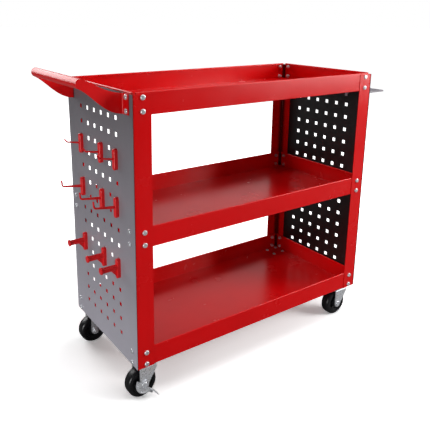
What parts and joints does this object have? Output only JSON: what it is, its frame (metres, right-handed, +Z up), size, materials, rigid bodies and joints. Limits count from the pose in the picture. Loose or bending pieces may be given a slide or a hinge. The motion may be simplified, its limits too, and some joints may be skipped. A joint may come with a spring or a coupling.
{
  "type": "tool cart",
  "caption": "Three-tray rolling tool cart of bolted sheet metal with perforated end panels, a push handle, hooks, a side rack and swivel casters.",
  "frame": {"origin": "middle of the whole cart's outline on the floor, handle and rack included", "axes": "+X along the cart from the handle end to the rack end, -Y the front, +Z up"},
  "size_m": [0.97, 0.3584, 0.783],
  "materials": {
    "red_paint": "glossy powder coat",
    "panel_paint": "semi-gloss powder coat",
    "rack_paint": "semi-gloss powder coat",
    "hook_plastic": "glossy",
    "zinc_plate": "bright zinc plating",
    "tyre_rubber": "smooth moulded",
    "hub_plastic": "satin",
    "pad_rubber": "matte"
  },
  "bodies": {
    "cart": {"bearing_balls_front_left": "zinc_plate", "bearing_balls_front_right": "zinc_plate", "bearing_balls_rear_left": "zinc_plate", "bearing_balls_rear_right": "zinc_plate", "bottom_tray": "red_paint", "caster_plate_front_left": "zinc_plate", "caster_plate_front_right": "zinc_plate", "caster_plate_rear_left": "zinc_plate", "caster_plate_rear_right": "zinc_plate", "frame_bolts": "zinc_plate", "frame_nuts": "zinc_plate", "handle_bracket_front": "red_paint", "handle_bracket_rear": "red_paint", "handle_grip": "red_paint", "kingpin_front_left": "zinc_plate", "kingpin_front_right": "zinc_plate", "kingpin_rear_left": "zinc_plate", "kingpin_rear_right": "zinc_plate", "long_hook_front": "hook_plastic", "long_hook_middle": "hook_plastic", "long_hook_rear": "hook_plastic", "middle_tray": "red_paint", "peg_panel_left": "panel_paint", "peg_panel_right": "panel_paint", "post_front_left": "red_paint", "post_front_right": "red_paint", "post_rear_left": "red_paint", "post_rear_right": "red_paint", "short_hook_front": "hook_plastic", "short_hook_middle": "hook_plastic", "short_hook_rear": "hook_plastic", "thick_peg_front": "hook_plastic", "thick_peg_middle": "hook_plastic", "thick_peg_rear": "hook_plastic", "tool_rack": "rack_paint", "top_tray": "red_paint"},
    "swivel_front_left": {"fork_front_left": "zinc_plate", "axle_bolt_front_left": "zinc_plate", "axle_nut_front_left": "zinc_plate", "brake_pad_front_left": "pad_rubber"},
    "wheel_front_left": {"tyre_front_left": "tyre_rubber", "wheel_hub_front_left": "hub_plastic"},
    "brake_front_left": {"brake_lever_front_left": "zinc_plate"},
    "swivel_front_right": {"fork_front_right": "zinc_plate", "axle_bolt_front_right": "zinc_plate", "axle_nut_front_right": "zinc_plate"},
    "wheel_front_right": {"tyre_front_right": "tyre_rubber", "wheel_hub_front_right": "hub_plastic"},
    "swivel_rear_left": {"fork_rear_left": "zinc_plate", "axle_bolt_rear_left": "zinc_plate", "axle_nut_rear_left": "zinc_plate", "brake_pad_rear_left": "pad_rubber"},
    "wheel_rear_left": {"tyre_rear_left": "tyre_rubber", "wheel_hub_rear_left": "hub_plastic"},
    "brake_rear_left": {"brake_lever_rear_left": "zinc_plate"},
    "swivel_rear_right": {"fork_rear_right": "zinc_plate", "axle_bolt_rear_right": "zinc_plate", "axle_nut_rear_right": "zinc_plate"},
    "wheel_rear_right": {"tyre_rear_right": "tyre_rubber", "wheel_hub_rear_right": "hub_plastic"}
  },
  "joints": [
    {"name": "swivel_front_left_turn", "type": "hinge", "parent": "cart", "child": "swivel_front_left", "pos_m": [-0.342, -0.14, 0.0863], "axis": [0, 0, 1], "continuous": true},
    {"name": "wheel_front_left_roll", "type": "hinge", "parent": "swivel_front_left", "child": "wheel_front_left", "pos_m": [-0.354, -0.14, 0.0385], "axis": [0, 1, 0], "continuous": true},
    {"name": "brake_front_left_press", "type": "hinge", "parent": "swivel_front_left", "child": "brake_front_left", "pos_m": [-0.354, -0.14, 0.0385], "axis": [0, 1, 0], "range_deg": [-22, 0]},
    {"name": "swivel_front_right_turn", "type": "hinge", "parent": "cart", "child": "swivel_front_right", "pos_m": [0.346, -0.14, 0.0863], "axis": [0, 0, 1], "continuous": true},
    {"name": "wheel_front_right_roll", "type": "hinge", "parent": "swivel_front_right", "child": "wheel_front_right", "pos_m": [0.334, -0.14, 0.0385], "axis": [0, 1, 0], "continuous": true},
    {"name": "swivel_rear_left_turn", "type": "hinge", "parent": "cart", "child": "swivel_rear_left", "pos_m": [-0.342, 0.14, 0.0863], "axis": [0, 0, 1], "continuous": true},
    {"name": "wheel_rear_left_roll", "type": "hinge", "parent": "swivel_rear_left", "child": "wheel_rear_left", "pos_m": [-0.354, 0.14, 0.0385], "axis": [0, 1, 0], "continuous": true},
    {"name": "brake_rear_left_press", "type": "hinge", "parent": "swivel_rear_left", "child": "brake_rear_left", "pos_m": [-0.354, 0.14, 0.0385], "axis": [0, 1, 0], "range_deg": [-22, 0]},
    {"name": "swivel_rear_right_turn", "type": "hinge", "parent": "cart", "child": "swivel_rear_right", "pos_m": [0.346, 0.14, 0.0863], "axis": [0, 0, 1], "continuous": true},
    {"name": "wheel_rear_right_roll", "type": "hinge", "parent": "swivel_rear_right", "child": "wheel_rear_right", "pos_m": [0.334, 0.14, 0.0385], "axis": [0, 1, 0], "continuous": true}
  ]
}
